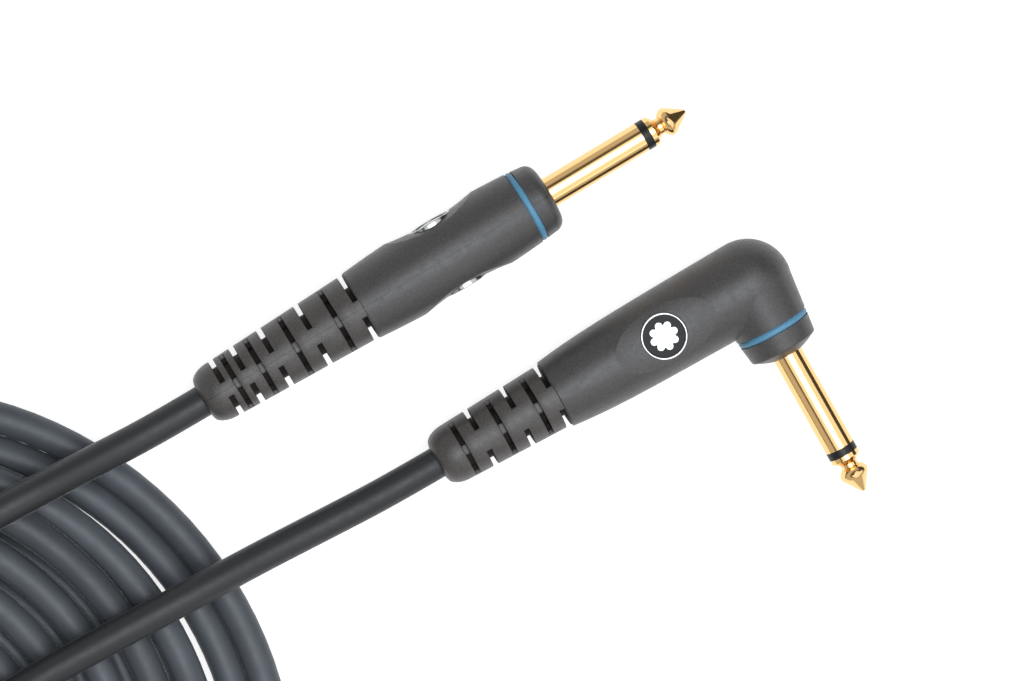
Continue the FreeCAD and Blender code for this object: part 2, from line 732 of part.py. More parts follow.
def boot_tail(x, y, heading, height, boot_length):
    turn = math.radians(heading)
    return (x - boot_length * math.cos(turn), y - boot_length * math.sin(turn), height)


def main():
    os.makedirs("parts", exist_ok=True)
    nodes = {}
    for name, shape in straight_plug().items():
        nodes["straight_" + name] = laid(shape, STRAIGHT_X, STRAIGHT_Y, STRAIGHT_MIDDLE_RADIUS, STRAIGHT_HEADING)
    for name, shape in angle_plug().items():
        nodes["angle_" + name] = laid(shape, ANGLE_X, ANGLE_Y, ANGLE_HEAD_RADIUS, ANGLE_HEADING)
    nodes["coil"] = coil()
    print("straight lead")
    tail = boot_tail(STRAIGHT_X, STRAIGHT_Y, STRAIGHT_HEADING, STRAIGHT_MIDDLE_RADIUS, STRAIGHT_BOOT_LENGTH)
    nodes["straight_lead"] = bent_tube((tail,) + STRAIGHT_LEAD, JACKET_RADIUS)
    print("angle lead")
    tail = boot_tail(ANGLE_X, ANGLE_Y, ANGLE_HEADING, ANGLE_HEAD_RADIUS, ANGLE_BOOT_LENGTH)
    nodes["angle_lead"] = bent_tube((tail,) + ANGLE_LEAD, JACKET_RADIUS)
    for name, shape in nodes.items():
        box = shape.BoundBox
        print("%-26s solids %d valid %s volume %8.1f z %.2f to %.2f" % (
            name, len(shape.Solids), shape.isValid(), shape.Volume, box.ZMin, box.ZMax))
        shape.exportStep("parts/" + name + ".step")


main()
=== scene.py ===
"""Instrument cable with a straight and a right-angle plug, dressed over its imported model.

Metres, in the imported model's frame. Sizes are written in millimetres and brought to metres with MM.
Each plug's own pieces are built along X, with x = 0 where the boot meets the shell, and then laid in place.
"""
import json
import math

import bmesh
import bpy
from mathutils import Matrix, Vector


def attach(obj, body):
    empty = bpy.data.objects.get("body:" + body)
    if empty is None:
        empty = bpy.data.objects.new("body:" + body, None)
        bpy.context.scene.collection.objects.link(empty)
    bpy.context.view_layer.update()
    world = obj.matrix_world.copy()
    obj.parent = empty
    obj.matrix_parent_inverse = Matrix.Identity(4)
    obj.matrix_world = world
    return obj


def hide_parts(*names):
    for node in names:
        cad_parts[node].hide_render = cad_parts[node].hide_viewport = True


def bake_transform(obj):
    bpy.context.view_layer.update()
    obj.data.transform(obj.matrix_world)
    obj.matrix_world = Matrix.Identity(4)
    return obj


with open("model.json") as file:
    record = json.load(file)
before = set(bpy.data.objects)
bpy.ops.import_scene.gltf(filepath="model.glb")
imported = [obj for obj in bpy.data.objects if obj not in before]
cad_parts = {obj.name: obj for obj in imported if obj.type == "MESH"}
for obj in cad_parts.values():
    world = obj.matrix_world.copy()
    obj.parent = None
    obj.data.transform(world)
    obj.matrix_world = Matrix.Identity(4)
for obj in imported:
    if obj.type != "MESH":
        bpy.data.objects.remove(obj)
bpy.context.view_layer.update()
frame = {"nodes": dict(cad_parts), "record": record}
nodes = frame["nodes"]
scene = bpy.context.scene
MM = 0.001

# Plugs: place of the boot's front face, height of the axis, heading in degrees, the axis across which the
# two halves of its mouldings meet, and its boot: length, radius in front, and its slots with their arc in
# degrees and their distances from the front
STRAIGHT = {
    "name": "straight", "x": -18.78, "y": 43.30, "z": 8.6, "heading": -15.2, "seam": "Y",
    "boot_length": 37.5, "boot_front": 7.45, "slot_arc": 148,
    "side_slots": (0.85, 11.5, 20.5, 27.2, 32.1), "face_slots": (5.9, 15.8, 23.9, 29.7),
}
ANGLE = {
    "name": "angle", "x": -4.36, "y": 2.00, "z": 9.15, "heading": -16.35, "seam": "Z",
    "boot_length": 27.9, "boot_front": 7.1, "slot_arc": 136,
    "side_slots": (0.85, 9.1, 17.75), "face_slots": (4.8, 13.2, 21.8),
}


# ---------------------------------------------------------------- camera

CAMERA_PLACE = (-0.025822, 0.104907, 0.809)
CAMERA_TURN = (-3.20355, -5.71059, -46.0)
LENS = 138.43
SENSOR_WIDTH = 36


def set_camera():
    data = bpy.data.cameras.new("camera")
    data.sensor_width = SENSOR_WIDTH
    data.lens = LENS
    data.clip_start = 0.05
    data.clip_end = 20
    camera = bpy.data.objects.new("camera", data)
    camera.location = CAMERA_PLACE
    camera.rotation_euler = [math.radians(turn) for turn in CAMERA_TURN]
    scene.collection.objects.link(camera)
    scene.camera = camera


# ---------------------------------------------------------------- cord

JACKET_RADIUS = 3.3
STRAIGHT_LEAD = [
    (-66.1, 56.2, 8.8),
    (-79.2, 61.0, 12.2),
    (-92.2, 65.7, 17.0),
    (-106.2, 70.4, 19.0),
    (-121.2, 77.0, 18.6),
    (-136.2, 85.6, 17.6),
    (-152.2, 94.0, 17.0),
    (-169.6, 98.6, 16.8),
    (-186.0, 96.4, 16.0),
    (-199.8, 88.0, 12.8),
    (-208.8, 74.6, 10.6),
    (-212.0, 60.4, 10.2),
]
ANGLE_LEAD = [
    (-42.7, 13.2, 9.3),
    (-56.2, 18.0, 10.4),
    (-70.7, 23.4, 13.0),
    (-86.2, 28.8, 16.8),
    (-102.2, 34.2, 18.1),
    (-118.7, 39.4, 17.8),
    (-134.2, 43.0, 17.4),
    (-151.2, 44.5, 17.3),
    (-172.1, 37.7, 17.3),
    (-191.2, 40.5, 17.3),
    (-206.9, 51.7, 17.3),
    (-215.7, 68.8, 17.3),
    (-215.7, 88.1, 17.3),
    (-206.8, 105.1, 17.3),
    (-191.0, 116.0, 17.2),
    (-171.9, 118.3, 16.8),
    (-154.2, 115.4, 15.8),
]

COIL_X = -173.60
COIL_Y = 44.10
POINTS_PER_TURN = 16
# Turns that overlap by less than this lie side by side, and more puts one on the other
SIDE_BY_SIDE = 0.25
# Turns of the coil in the order that the cord runs: radius at the plugs' side, slide to the side,
# how late it tightens before and after that side, and the radius at the far side that it comes from
TURNS = [
    {"layer": "top", "near": 68.2, "slide": 8.9, "late": (1.15, 0.99), "far": 40.4},
    {"layer": "top", "near": 60.0, "slide": 9.0, "late": (1.05, 0.97), "far": 33.9},
    {"layer": "top", "near": 51.3, "slide": 9.0, "late": (0.95, 0.94), "far": 27.4},
    {"layer": "floor", "near": 47.6, "slide": 6.5, "late": (0.85, 0.77), "far": 10.9},
    {"layer": "floor", "near": 55.1, "slide": 6.5, "late": (0.9, 0.76), "far": 17.4},
    {"layer": "floor", "near": 63.4, "slide": 6.4, "late": (0.97, 0.75), "far": 23.9},
    {"layer": "floor", "near": 71.9, "slide": 6.2, "late": (1.05, 0.76), "far": 30.4},
    {"layer": "floor", "near": 79.4, "slide": 5.0, "late": (1.12, 0.79), "far": 36.9},
    {"layer": "floor", "near": 89.7, "slide": 1.6, "late": (1.3, 0.93), "far": 43.4},
    {"layer": "floor", "near": 96.2, "slide": 1.6, "late": (1.32, 0.97), "far": 49.9},
    {"layer": "top", "near": 83.1, "slide": 5.2, "late": (1.25, 0.88), "far": 53.2},
    {"layer": "top", "near": 76.8, "slide": 7.5, "late": (1.15, 0.95), "far": 46.7},
]
# Where the last turn ends, in degrees from the plugs' side, and the far radius that it heads for
LAST_ANGLE = 60
LAST_FAR = 46.7
FARS = [turn["far"] for turn in TURNS] + [LAST_FAR]


def plug_point(plug, along):
    """A point along a plug's axis, in millimetres of the frame."""
    turn = math.radians(plug["heading"])
    return plug["x"] + along * math.cos(turn), plug["y"] + along * math.sin(turn), plug["z"]


def in_metres(point):
    return [part * MM for part in point]


def turn_radius(number, degrees):
    """Radius of a turn at an angle, which is 0 at the plugs' side and 180 at the far side."""
    turn = TURNS[number]
    far = FARS[number] if degrees < 0 else FARS[number + 1]
    late = turn["late"][0] if degrees < 0 else turn["late"][1]
    angle = math.radians(degrees)
    farness = (1 - math.cos(angle)) / 2
    tightened = turn["near"] + (far - turn["near"]) * farness ** late
    return tightened + turn["slide"] * math.sin(angle) * math.cos(angle / 2)


def turn_angles(number):
    half = POINTS_PER_TURN // 2
    last = LAST_ANGLE if number == len(TURNS) - 1 else 180
    angles = [step * 360 / POINTS_PER_TURN for step in range(-half, half)]
    return [angle for angle in angles if angle <= last]


def coil_heights():
    """Height of each turn at each angle. Floor turns go first, and top turns rest on those under them."""
    thick = 2 * JACKET_RADIUS
    laid = {}
    heights = {}
    for layer in ("floor", "top"):
        for number in [n for n, turn in enumerate(TURNS) if turn["layer"] == layer]:
            for degrees in turn_angles(number):
                radius = turn_radius(number, degrees)
                height = JACKET_RADIUS
                for other_radius, other_height in laid.get(degrees % 360, []):
                    apart = abs(other_radius - radius)
                    if apart < thick - SIDE_BY_SIDE:
                        height = max(height, other_height + math.sqrt(thick ** 2 - apart ** 2))
                heights[number, degrees] = height
            for degrees in turn_angles(number):
                place = (turn_radius(number, degrees), heights[number, degrees])
                laid.setdefault(degrees % 360, []).append(place)
    return heights


def coil_points():
    """Points that pull the spline through the coil's turns, a little outside the curve itself."""
    heights = coil_heights()
    points = []
    for number in range(len(TURNS)):
        for degrees in turn_angles(number):
            radius = turn_radius(number, degrees) / math.cos(math.pi / POINTS_PER_TURN)
            angle = math.radians(degrees)
            points.append((COIL_X + radius * math.cos(angle), COIL_Y + radius * math.sin(angle),
                           heights[number, degrees]))
    return points


def make_cord(finish):
    """The whole cord from the straight plug's boot, round the coil and back to the right-angle plug's boot."""
    start = plug_point(STRAIGHT, -STRAIGHT["boot_length"])
    end = plug_point(ANGLE, -ANGLE["boot_length"])
    route = [start] + STRAIGHT_LEAD + coil_points() + ANGLE_LEAD[::-1] + [end]
    curve = bpy.data.curves.new("cord", "CURVE")
    curve.dimensions = "3D"
    spline = curve.splines.new("NURBS")
    spline.points.add(len(route) - 1)
    for point, place in zip(spline.points, route):
        point.co = (*in_metres(place), 1)
        point.radius = JACKET_RADIUS * MM
    spline.order_u = 3
    spline.use_endpoint_u = True
    spline.resolution_u = 8
    curve.resolution_u = 8
    curve.bevel_depth = 1.0
    curve.bevel_resolution = 9
    curve.use_fill_caps = True
    cord = bpy.data.objects.new("cord", curve)
    scene.collection.objects.link(cord)
    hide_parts("coil", "straight_lead", "angle_lead")
    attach(cord, "cable")
    dress(cord, finish)


# ---------------------------------------------------------------- finishes

# Line where two halves of a moulding meet: half its width, how dark it is, and how far it stands out
SEAM_HALF_WIDTH = 0.11
SEAM_SHADE = 0.5
SEAM_RELIEF = 0.15


class Nodes:
    """Short calls for the nodes that the finishes and the surround share."""

    def __init__(self, tree):
        self.tree = tree

    def node(self, kind, **values):
        made = self.tree.nodes.new(kind)
        for name, value in values.items():
            if hasattr(made, name):
                setattr(made, name, value)
            else:
                made.inputs[name.replace("_", " ")].default_value = value
        return made

    def link(self, out, socket):
        self.tree.links.new(out, socket)

    def apart(self, vector):
        """The three parts of a vector."""
        made = self.node("ShaderNodeSeparateXYZ")
        self.link(vector, made.inputs["Vector"])
        return made.outputs

    def spread(self, value, low, high, from_low=0.3, from_high=0.7):
        made = self.node("ShaderNodeMapRange", From_Min=from_low, From_Max=from_high, To_Min=low, To_Max=high)
        self.link(value, made.inputs["Value"])
        return made.outputs["Result"]

    def joined(self, operation, *values):
        """A Math node on one or two values, of which each is a number or a socket."""
        made = self.node("ShaderNodeMath", operation=operation)
        for value, socket in zip(values, made.inputs):
            if isinstance(value, float):
                socket.default_value = value
            else:
                self.link(value, socket)
        return made.outputs["Value"]


class Finish(Nodes):
    """A node material for one of the cable's finishes."""

    def __init__(self, name, color, roughness, metallic=0.0):
        self.material = bpy.data.materials.new(name)
        self.material.use_nodes = True
        super().__init__(self.material.node_tree)
        self.shader = self.tree.nodes["Principled BSDF"]
        self.give("Base Color", (*color, 1))
        self.give("Roughness", roughness)
        self.give("Metallic", metallic)

    def give(self, name, value):
        """Sets one of the shader's values."""
        self.shader.inputs[name].default_value = value

    def feed(self, name, out):
        """Links a node to one of the shader's values."""
        self.link(out, self.shader.inputs[name])

    def place(self, plug=None):
        """Coordinates of the frame, or along a plug's own axis, in metres."""
        coordinate = self.node("ShaderNodeTexCoord")
        if plug is None:
            return coordinate.outputs["Object"]
        mapping = self.node("ShaderNodeMapping", vector_type="TEXTURE")
        mapping.inputs["Location"].default_value = in_metres(plug_point(plug, 0))
        mapping.inputs["Rotation"].default_value = (0, 0, math.radians(plug["heading"]))
        self.link(coordinate.outputs["Object"], mapping.inputs["Vector"])
        return mapping.outputs["Vector"]

    def noise(self, place, scale, detail=3.0, roughness=0.5):
        made = self.node("ShaderNodeTexNoise", Scale=scale, Detail=detail, Roughness=roughness)
        self.link(place, made.inputs["Vector"])
        return made.outputs["Fac"]

    def two_colors(self, value, low, high):
        """A mix of two colours, of which each is three numbers or a socket."""
        made = self.node("ShaderNodeMix", data_type="RGBA")
        self.link(value, made.inputs["Factor"])
        for color, socket in zip((low, high), [s for s in made.inputs if s.type == "RGBA"]):
            if isinstance(color, tuple):
                socket.default_value = (*color, 1)
            else:
                self.link(color, socket)
        return [s for s in made.outputs if s.type == "RGBA"][0]

    def seam(self, place, axis):
        """1 on the plane where two halves of a moulding meet, falling to 0 beside it."""
        off = self.joined("ABSOLUTE", self.apart(place)[axis])
        return self.spread(off, 1.0, 0.0, 0.3 * SEAM_HALF_WIDTH * MM, SEAM_HALF_WIDTH * MM)

    def bump(self, height, strength, distance, under=None):
        made = self.node("ShaderNodeBump", Strength=strength, Distance=distance)
        self.link(height, made.inputs["Height"])
        if under is not None:
            self.link(under, made.inputs["Normal"])
        return made.outputs["Normal"]


def shaded(color, factor):
    return tuple(part * factor for part in color)


SHEEN_ROUGHNESS = 0.18
SHEEN_TINT = (1.0, 0.96, 0.88, 1)
SPECKLE_SCALE = 3600
SPECKLE_RANGE = (0.34, 0.66)
GRAIN_SCALE = 4200
GRAIN_DEPTH = 0.0001
SMUDGE_SCALE = 900
SMUDGE = 0.06


def moulded(name, low, high, roughness, grain, specular=0.5, sheen=0.0, plug=None):
    """Moulded plastic: fine grain that also speckles its colour, and the thin line where its halves meet."""
    made = Finish(name, high, roughness)
    made.give("Specular IOR Level", specular)
    made.give("Sheen Weight", sheen)
    made.give("Sheen Roughness", SHEEN_ROUGHNESS)
    made.give("Sheen Tint", SHEEN_TINT)
    place = made.place(plug)
    speckle = made.spread(made.noise(place, SPECKLE_SCALE, 1.5, 0.6), 0, 1, *SPECKLE_RANGE)
    color = made.two_colors(speckle, low, high)
    normal = made.bump(made.noise(place, GRAIN_SCALE, 2, 0.6), grain, GRAIN_DEPTH)
    if plug:
        line = made.seam(place, plug["seam"])
        color = made.two_colors(line, color, shaded(low, SEAM_SHADE))
        normal = made.bump(line, SEAM_RELIEF, -GRAIN_DEPTH, normal)
    made.feed("Base Color", color)
    smudge = made.noise(place, SMUDGE_SCALE, 2)
    made.feed("Roughness", made.spread(smudge, roughness - SMUDGE, roughness + SMUDGE))
    made.feed("Normal", normal)
    return made


# Shares of the cord's length between which the straight and the right-angle lead turn into the coil's colour
# with its painted reflection
FIRST_LEAD = (0.035, 0.055)
LAST_LEAD = (0.90, 0.93)


def extruded(name, coil, lead, roughness):
    """The cord's jacket: smooth with a faint draw, lighter and bluish on the coil as a painted reflection, and
    darker on the leads.
    """
    made = Finish(name, coil, roughness)
    made.give("Specular IOR Level", 0.45)
    made.give("Sheen Weight", 0.45)
    made.give("Sheen Roughness", 0.20)
    place = made.place()
    along = made.apart(made.node("ShaderNodeTexCoord").outputs["UV"])["X"]
    in_lead = made.joined("MAXIMUM", made.spread(along, 1.0, 0.0, *FIRST_LEAD),
                          made.spread(along, 0.0, 1.0, *LAST_LEAD))
    cloud = made.spread(made.noise(place, 90, 3), 0, 1)
    # Coil colour: the jacket's tone lighter and bluish, a painted reflection
    coil_reflection_color = made.two_colors(cloud, shaded(coil, 0.88), shaded(coil, 1.08))
    lead_color = made.two_colors(cloud, shaded(lead, 0.92), shaded(lead, 1.08))
    made.feed("Base Color", made.two_colors(in_lead, coil_reflection_color, lead_color))
    made.feed("Roughness", made.spread(made.noise(place, 700, 2), roughness - 0.05, roughness + 0.05))
    made.feed("Normal", made.bump(made.noise(place, 2600, 2, 0.6), 0.10, GRAIN_DEPTH))
    return made


def plated(name, color, roughness, scratch):
    """Metal with fine scratches and a polish that varies a little."""
    made = Finish(name, color, roughness, 1.0)
    place = made.place()
    made.feed("Roughness", made.spread(made.noise(place, 300, 3), roughness * 0.8, roughness * 1.25))
    made.feed("Normal", made.bump(made.noise(place, 1500, 3, 0.7), scratch, 0.00005))
    return made


HOUSING = {"low": (0.044, 0.040, 0.039), "high": (0.078, 0.072, 0.071),
           "roughness": 0.40, "grain": 0.4, "specular": 0.6, "sheen": 0.05}
BOOT = {"low": (0.051, 0.044, 0.041), "high": (0.090, 0.080, 0.075),
        "roughness": 0.40, "grain": 0.3, "specular": 0.55, "sheen": 0.05}


def make_finishes():
    return {
        "straight_housing": moulded("straight_housing", **HOUSING, plug=STRAIGHT),
        "angle_housing": moulded("angle_housing", **HOUSING, plug=ANGLE),
        "straight_boot": moulded("straight_boot", **BOOT, plug=STRAIGHT),
        "angle_boot": moulded("angle_boot", **BOOT, plug=ANGLE),
        # Near-black finish that paints shade onto the walls and floors of the boots' slots
        "boot_slots": moulded("boot_slots", (0.016, 0.012, 0.010), (0.026, 0.020, 0.017), 0.6, 0.3, 0.2),
        # Jacket: a lighter bluish coil colour, which is a painted reflection, and a darker lead colour
        "jacket": extruded("cord_jacket", (0.080, 0.089, 0.101), (0.025, 0.025, 0.027), 0.46),
        "gold_plate": plated("gold_plate", (0.92, 0.59, 0.255), 0.10, 0.04),
        "black_ring": moulded("black_ring", (0.010, 0.010, 0.010), (0.016, 0.015, 0.015), 0.35, 0.1, 0.3),
        "blue_ring": moulded("blue_ring", (0.10, 0.28, 0.43), (0.13, 0.33, 0.49), 0.42, 0.1, 0.4),
        "badge_chrome": plated("badge_chrome", (0.46, 0.46, 0.455), 0.16, 0.04),
        "badge_black": moulded("badge_black", (0.004, 0.004, 0.004), (0.006, 0.006, 0.006), 0.15, 0.02, 0.15),
        "white_insulator": moulded("white_insulator", (0.62, 0.60, 0.55), (0.70, 0.68, 0.63), 0.5, 0.1),
        "tinned_brass": plated("tinned_brass", (0.62, 0.60, 0.56), 0.35, 0.2),
        "copper": plated("bare_copper", (0.80, 0.38, 0.22), 0.3, 0.25),
        "solder": plated("solder", (0.55, 0.55, 0.56), 0.28, 0.15),
    }


def dress(piece, finish):
    piece.data.materials.clear()
    piece.data.materials.append(finish.material)


def dress_nodes(finishes):
    """Each CAD node takes the finish of its material slot, or its plug's own where there is one."""
    slots = {row["node"]: row["material_slot"] for row in frame["record"]["subparts"]}
    for name, piece in nodes.items():
        slot = slots[name]
        own = name.split("_")[0] + "_" + slot
        dress(piece, finishes[own if own in finishes else slot])


# ---------------------------------------------------------------- modelling

SMOOTH_ANGLE = math.radians(40)


def take_up(piece):
    """Selects one piece alone and makes it the active one."""
    bpy.ops.object.select_all(action="DESELECT")
    piece.select_set(True)
    bpy.context.view_layer.objects.active = piece


def start_edit(piece, mode="FACE"):
    take_up(piece)
    bpy.ops.object.mode_set(mode="EDIT")
    bpy.ops.mesh.select_mode(type=mode)


def end_edit():
    bpy.ops.object.mode_set(mode="OBJECT")


def pick_faces(piece, wanted):
    """Selects the faces for which wanted(centre, normal) is true, with lengths in millimetres."""
    bpy.ops.mesh.select_all(action="DESELECT")
    mesh = bmesh.from_edit_mesh(piece.data)
    for face in mesh.faces:
        if wanted(face.calc_center_median() / MM, face.normal):
            face.select = True
    mesh.select_flush_mode()
    bmesh.update_edit_mesh(piece.data)


def pick_ring(piece, x):
    """Selects the corners at one place along the X axis."""
    bpy.ops.mesh.select_all(action="DESELECT")
    mesh = bmesh.from_edit_mesh(piece.data)
    for corner in mesh.verts:
        if abs(corner.co.x / MM - x) < 1e-3:
            corner.select = True
    mesh.select_flush(True)
    bmesh.update_edit_mesh(piece.data)


def from_axis(centre):
    return math.hypot(centre.y, centre.z)


def faces_out(normal):
    """Whether a face looks away from the X axis more than along it."""
    return abs(normal.x) < 0.5


def is_cap(centre, normal, way):
    """Whether a face is the round end of a rod that looks along X (1) or against it (-1)."""
    return normal.x * way > 0.99 and from_axis(centre) < 1


def pull_out(distance):
    """Extrudes what is selected along the X axis."""
    bpy.ops.mesh.extrude_region_move(TRANSFORM_OT_translate={"value": (distance * MM, 0, 0)})


def scale_round(x, factor):
    """Scales what is selected towards or away from the X axis."""
    bpy.ops.transform.resize(value=(1, factor, factor), center_override=(x * MM, 0, 0))


def add_rod(name, start, end, radius, corners, rings):
    """A rod along X with a ring of corners at each given place."""
    bpy.ops.mesh.primitive_cylinder_add(vertices=corners, radius=radius * MM, depth=(end - start) * MM,
                                        location=((start + end) / 2 * MM, 0, 0), rotation=(0, math.pi / 2, 0))
    rod = bpy.context.object
    rod.name = name
    rod.data.name = name
    bpy.ops.object.transform_apply(location=True, rotation=True, scale=True)
    start_edit(rod)
    for x in rings:
        bpy.ops.mesh.select_all(action="SELECT")
        bpy.ops.mesh.bisect(plane_co=(x * MM, 0, 0), plane_no=(1, 0, 0))
    end_edit()
    return rod


def soften(piece, width):
    """Rounds the sharp edges of a piece."""
    take_up(piece)
    bevel = piece.modifiers.new("bevel", "BEVEL")
    bevel.width = width * MM
    bevel.segments = 2
    bevel.limit_method = "ANGLE"
    bevel.angle_limit = SMOOTH_ANGLE
    bpy.ops.object.modifier_apply(modifier=bevel.name)


def lay(piece, plug):
    """Moves a piece from a plug's own axis to the plug's place, and leaves the object itself at the origin."""
    take_up(piece)
    piece.location = in_metres(plug_point(plug, 0))
    piece.rotation_euler = (0, 0, math.radians(plug["heading"]))
    bpy.ops.object.transform_apply(location=True, rotation=True, scale=True)


def fit_in_plug(piece, plug, node):
    """Lays a piece that takes a node's place between the cord and the plug."""
    bpy.ops.object.shade_smooth_by_angle(angle=SMOOTH_ANGLE)
    lay(piece, plug)
    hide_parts(plug["name"] + node)
    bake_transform(piece)


# ---------------------------------------------------------------- boots

BOOT_CORNERS = 96
# Domed tail: length, radius where it starts, radius round the cord, and its rings as shares of the length
DOME_LENGTH = 4.4
DOME_RADIUS = 6.25
MOUTH_RADIUS = 3.7
DOME_RINGS = (0.12, 0.3, 0.5, 0.68, 0.82, 0.92, 0.98)
LONGEST_BAND = 2.2
# Slots: width, radius of the floor, and depth from which their walls and floors take a painted shade
SLOT_WIDTH = 1.1
SLOT_FLOOR = 4.6
SLOT_SHADE_DEPTH = 0.2
# Rib that is left across each slot on the faces: depth of its top, and width
RIB_DEPTH = 0.8
RIB_WIDTH = 2.7
EDGE_ROUND = 0.14
# What lies in front of this is the boot's front face
FRONT_EDGE = -0.05
# Neck and flange that the shell holds, the bore through them, and the rim and depth of the tail's mouth
NECK_RADIUS = 4.2
NECK_LENGTH = 3.05
FLANGE_RADIUS = 5.4
FLANGE_LENGTH = 2.0
BORE_RADIUS = 3.35
MOUTH_RIM = 0.25
MOUTH_DEPTH = 3.0


def dome_start(plug):
    return DOME_LENGTH - plug["boot_length"]


def boot_radius(x, plug):
    """Outside radius of a boot: a straight taper and a domed tail."""
    dome = dome_start(plug)
    if x >= dome:
        return plug["boot_front"] + (DOME_RADIUS - plug["boot_front"]) * x / dome
    share = (dome - x) / DOME_LENGTH
    return MOUTH_RADIUS + (DOME_RADIUS - MOUTH_RADIUS) * math.sqrt(max(0.0, 1 - share ** 2))


def boot_rings(plug):
    """Places of a boot's rings: the slots' edges, the dome's own, and the middle of each long band."""
    length = plug["boot_length"]
    rings = {-length + DOME_LENGTH * (1 - share) for share in DOME_RINGS}
    for place in plug["side_slots"] + plug["face_slots"]:
        rings |= {-place - SLOT_WIDTH / 2, -place + SLOT_WIDTH / 2}
    edges = sorted(rings | {-length, 0.0})
    for low, high in zip(edges, edges[1:]):
        if high - low > LONGEST_BAND:
            rings.add((low + high) / 2)
    return sorted(rings)


def cut_slot(boot, plug, place, middle, ribbed):
    """Sinks one slot into a boot. Its middle is an angle round the axis in degrees."""
    outside = boot_radius(-place, plug)
    rib_top = outside - RIB_DEPTH
    rib_reach = math.degrees(RIB_WIDTH / 2 / outside)

    def off_middle(centre):
        angle = math.degrees(math.atan2(centre.z, centre.y))
        return abs((angle - middle + 180) % 360 - 180)

    def in_band(centre):
        return abs(centre.x + place) < SLOT_WIDTH / 2 and off_middle(centre) < plug["slot_arc"] / 2

    def in_slot(centre, normal):
        return in_band(centre) and faces_out(normal)

    def beside_rib(centre, normal):
        away = from_axis(centre)
        straight_out = abs(centre.y * normal.y + centre.z * normal.z) > 0.9 * away
        return in_band(centre) and off_middle(centre) > rib_reach and away < rib_top + 0.1 and straight_out

    pick_faces(boot, in_slot)
    if ribbed:
        bpy.ops.mesh.extrude_region_move()
        scale_round(-place, rib_top / outside)
        pick_faces(boot, beside_rib)
        outside = rib_top
    bpy.ops.mesh.extrude_region_move()
    scale_round(-place, SLOT_FLOOR / outside)


def paint_slot_shade(boot, plug):
    """Paints shade onto the slots' walls and floors with the boot's second, near-black finish, and leaves out
    the ribs' tops.
    """
    def in_painted_shade(centre, normal):
        deep = boot_radius(centre.x, plug) - from_axis(centre)
        rib_top = deep < RIB_DEPTH + 0.15 and faces_out(normal)
        return dome_start(plug) < centre.x < FRONT_EDGE and deep > SLOT_SHADE_DEPTH and not rib_top

    pick_faces(boot, in_painted_shade)
    boot.active_material_index = 1
    bpy.ops.object.material_slot_assign()


def add_neck(boot, plug):
    """Pulls the neck and its flange out of the boot's front face, and opens the bore."""
    pick_faces(boot, lambda centre, normal: is_cap(centre, normal, 1) and centre.x > FRONT_EDGE)
    bpy.ops.mesh.inset(thickness=(plug["boot_front"] - EDGE_ROUND - NECK_RADIUS) * MM)
    pull_out(NECK_LENGTH)
    bpy.ops.mesh.extrude_region_move()
    scale_round(NECK_LENGTH, FLANGE_RADIUS / NECK_RADIUS)
    pull_out(FLANGE_LENGTH)
    bpy.ops.mesh.inset(thickness=(FLANGE_RADIUS - BORE_RADIUS) * MM)
    bpy.ops.mesh.delete(type="FACE")


def sink_mouth(boot, plug):
    """Sinks the mouth in the tail, where the cord comes out."""
    tail = 0.2 - plug["boot_length"]
    pick_faces(boot, lambda centre, normal: is_cap(centre, normal, -1) and centre.x < tail)
    bpy.ops.mesh.inset(thickness=MOUTH_RIM * MM)
    pull_out(MOUTH_DEPTH)


def make_boot(plug, outside_finish, slot_shade_finish):
    """A slotted strain relief: side slots right and left, ribbed face slots above and below."""
    length = plug["boot_length"]
    rings = boot_rings(plug)
    boot = add_rod(plug["name"] + "_boot_moulding", -length, 0, plug["boot_front"], BOOT_CORNERS, rings)
    dress(boot, outside_finish)
    # Second material: the near-black finish that paints shade into the slots
    boot.data.materials.append(slot_shade_finish.material)
    start_edit(boot, "VERT")
    for x in rings + [-length]:
        pick_ring(boot, x)
        scale_round(x, boot_radius(x, plug) / plug["boot_front"])
    bpy.ops.mesh.select_mode(type="FACE")
    sides = ((0, 180), plug["side_slots"], False)
    faces = ((90, 270), plug["face_slots"], True)
    for middles, places, ribbed in (sides, faces):
        for middle in middles:
            for place in places:
                cut_slot(boot, plug, place, middle, ribbed)
    paint_slot_shade(boot, plug)
    end_edit()
    soften(boot, EDGE_ROUND)
    start_edit(boot)
    add_neck(boot, plug)
    sink_mouth(boot, plug)
    end_edit()
    fit_in_plug(boot, plug, "_boot")


# Jacket inside a boot: its start in front of the tail, its end in the clamp, the width of its bands, the
# start of the first from the tail and how far past the boot they are counted, and its hollow round the shield
JACKET_START = 3.6
JACKET_END = 13.5
JACKET_CORNERS = 32
JACKET_BAND = 2.2
BANDS_FROM = 4
BANDS_PAST = 8
HOLLOW_RADIUS = 2.43
HOLLOW_DEPTH = 8.3


def make_jacket_end(plug, finish):
    """The cord's jacket inside a boot, with its hollow end round the shield."""
    length = plug["boot_length"]
    bands = int((length + BANDS_PAST) / JACKET_BAND)
    rings = [BANDS_FROM - length + step * JACKET_BAND for step in range(1, bands)]
    piece = add_rod(plug["name"] + "_jacket_in_boot", JACKET_START - length, JACKET_END, JACKET_RADIUS,
                    JACKET_CORNERS, rings)
    dress(piece, finish)
    start_edit(piece)
    pick_faces(piece, lambda centre, normal: is_cap(centre, normal, 1) and centre.x > JACKET_END - 0.5)
    bpy.ops.mesh.inset(thickness=(JACKET_RADIUS - HOLLOW_RADIUS) * MM)
    pull_out(-HOLLOW_DEPTH)
    end_edit()
    fit_in_plug(piece, plug, "_jacket_end")


# ---------------------------------------------------------------- floor and light

FLOOR_SIZE = 6
FLOOR_HEIGHT = -0.0002
FLOOR_GLOW = 0.80
# Brightness of the surround: its ceiling and side wall in gloss, its other walls in gloss, and all of it
# as light on matt surfaces
CEILING = 0.12
WALLS = 0.62
AROUND = 0.15
# How far up and how far to the side a ray looks where the ceiling and the side wall begin and are full
CEILING_EDGE = (0.55, 0.68)
SIDE_WALL_EDGE = (0.62, 0.80)
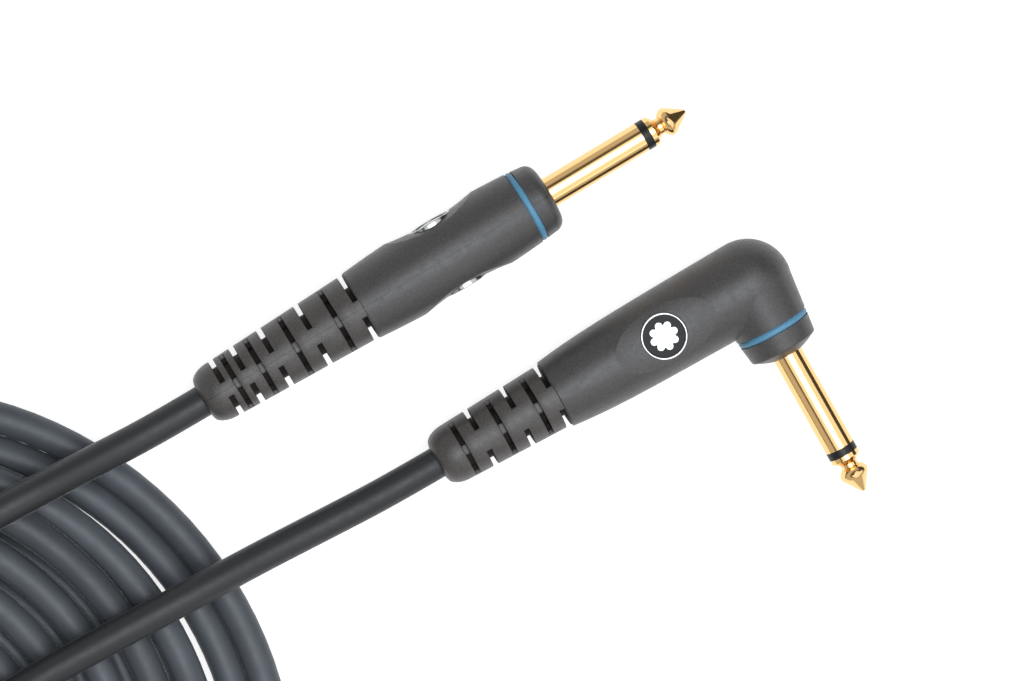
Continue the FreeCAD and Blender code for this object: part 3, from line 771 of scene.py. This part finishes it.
# Lamps in metres and watts, aimed at the middle of the plugs
LAMP_AIM = (-0.03, 0.02, 0)
LAMPS = {
    "soft_box": {"place": (0.10, -0.36, 1.25), "size": 2.2, "power": 17.5, "color": (0.93, 0.965, 1.0)},
    "key": {"place": (0.0, -0.08, 1.25), "size": 0.75, "power": 6.2, "color": (0.89, 0.945, 1.0)},
}


def make_floor():
    """A pale floor that takes the shadow and glows to the camera, in gloss and through clear pieces."""
    bpy.ops.mesh.primitive_plane_add(size=FLOOR_SIZE, location=(0, 0, FLOOR_HEIGHT))
    floor = bpy.context.object
    floor.name = "floor"
    finish = Finish("floor", (0.50, 0.50, 0.50), 0.9)
    path = finish.node("ShaderNodeLightPath").outputs
    seen = finish.joined("MAXIMUM", path["Is Camera Ray"], path["Is Glossy Ray"])
    seen = finish.joined("MAXIMUM", seen, path["Is Transmission Ray"])
    finish.give("Emission Color", (1, 1, 1, 1))
    finish.feed("Emission Strength", finish.joined("MULTIPLY", seen, FLOOR_GLOW))
    finish.give("Specular IOR Level", 0)
    dress(floor, finish)


def add_lamp(name, place, size, power, color):
    data = bpy.data.lights.new(name, "AREA")
    data.shape = "SQUARE"
    data.size = size
    data.energy = power
    data.color = color
    lamp = bpy.data.objects.new(name, data)
    lamp.location = place
    lamp.rotation_euler = (Vector(LAMP_AIM) - Vector(place)).to_track_quat("-Z", "Y").to_euler()
    scene.collection.objects.link(lamp)


def set_surround():
    """A white surround, with a darker ceiling and side wall that only gloss shows."""
    world = bpy.data.worlds.new("studio")
    scene.world = world
    world.use_nodes = True
    made = Nodes(world.node_tree)
    way = made.apart(made.node("ShaderNodeTexCoord").outputs["Generated"])
    ceiling = made.spread(way["Z"], WALLS, CEILING, *CEILING_EDGE)
    side_wall = made.spread(way["X"], 1.0, CEILING, *SIDE_WALL_EDGE)
    path = made.node("ShaderNodeLightPath").outputs
    seen = made.joined("MAXIMUM", path["Is Camera Ray"], path["Is Transmission Ray"])
    gloss = made.joined("MULTIPLY", path["Is Glossy Ray"], made.joined("MULTIPLY", ceiling, side_wall))
    matt = made.joined("MULTIPLY", path["Is Diffuse Ray"], AROUND)
    background = made.tree.nodes["Background"]
    made.link(made.joined("ADD", made.joined("ADD", seen, gloss), matt), background.inputs["Strength"])
    background.inputs["Color"].default_value = (1, 1, 1, 1)


# ---------------------------------------------------------------- everything

set_camera()
finishes = make_finishes()
dress_nodes(finishes)
make_cord(finishes["jacket"])
for plug in (STRAIGHT, ANGLE):
    make_boot(plug, finishes[plug["name"] + "_boot"], finishes["boot_slots"])
for plug in (STRAIGHT, ANGLE):
    make_jacket_end(plug, finishes["jacket"])
make_floor()
for name, lamp in LAMPS.items():
    add_lamp(name, **lamp)
set_surround()
scene.view_settings.view_transform = "Standard"
